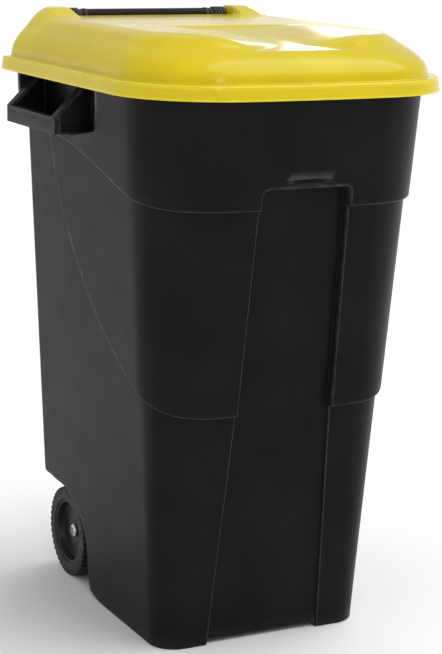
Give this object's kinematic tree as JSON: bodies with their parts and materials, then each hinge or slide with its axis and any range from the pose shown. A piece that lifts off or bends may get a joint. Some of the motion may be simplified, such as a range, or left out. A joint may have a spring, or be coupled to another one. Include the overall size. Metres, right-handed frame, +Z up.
{
  "type": "wheelie bin",
  "caption": "Tiered plastic waste bin with a domed hinged lid, side lifting handles, a rear grip bar and rear wheels on a steel axle.",
  "frame": {"origin": "on the ground, in the middle of the bin's box seen from above", "axes": "-Y is the front, +Y the rear with hinge and wheels, +Z up, X from left to right"},
  "size_m": [0.482, 0.588, 0.88],
  "materials": {
    "tub_charcoal": "fine moulded grain, soft sheen",
    "lid_yellow": "smooth satin",
    "black_plastic": "smooth matte",
    "tyre_rubber": "matte",
    "zinc_steel": "zinc plated"
  },
  "bodies": {
    "base": {"tub": "tub_charcoal", "grip_bar": "tub_charcoal", "axle": "zinc_steel", "left_side_handle": "tub_charcoal", "left_hinge_arm": "tub_charcoal", "left_axle_saddle": "black_plastic", "left_axle_spacer": "black_plastic", "left_axle_cap": "zinc_steel", "right_side_handle": "tub_charcoal", "right_hinge_arm": "tub_charcoal", "right_axle_saddle": "black_plastic", "right_axle_spacer": "black_plastic", "right_axle_cap": "zinc_steel"},
    "lid": {"lid": "lid_yellow", "left_hinge_pin": "black_plastic", "right_hinge_pin": "black_plastic"},
    "left_wheel": {"left_wheel_rim": "black_plastic", "left_tyre": "tyre_rubber"},
    "right_wheel": {"right_wheel_rim": "black_plastic", "right_tyre": "tyre_rubber"}
  },
  "joints": [
    {"name": "lid_hinge", "type": "hinge", "parent": "base", "child": "lid", "pos_m": [0, 0.279, 0.863], "axis": [-1, 0, 0], "range_deg": [0, 245]},
    {"name": "left_wheel_spin", "type": "hinge", "parent": "base", "child": "left_wheel", "pos_m": [-0.137, 0.21, 0.07], "axis": [1, 0, 0], "continuous": true},
    {"name": "right_wheel_spin", "type": "hinge", "parent": "base", "child": "right_wheel", "pos_m": [0.137, 0.21, 0.07], "axis": [1, 0, 0], "continuous": true}
  ]
}
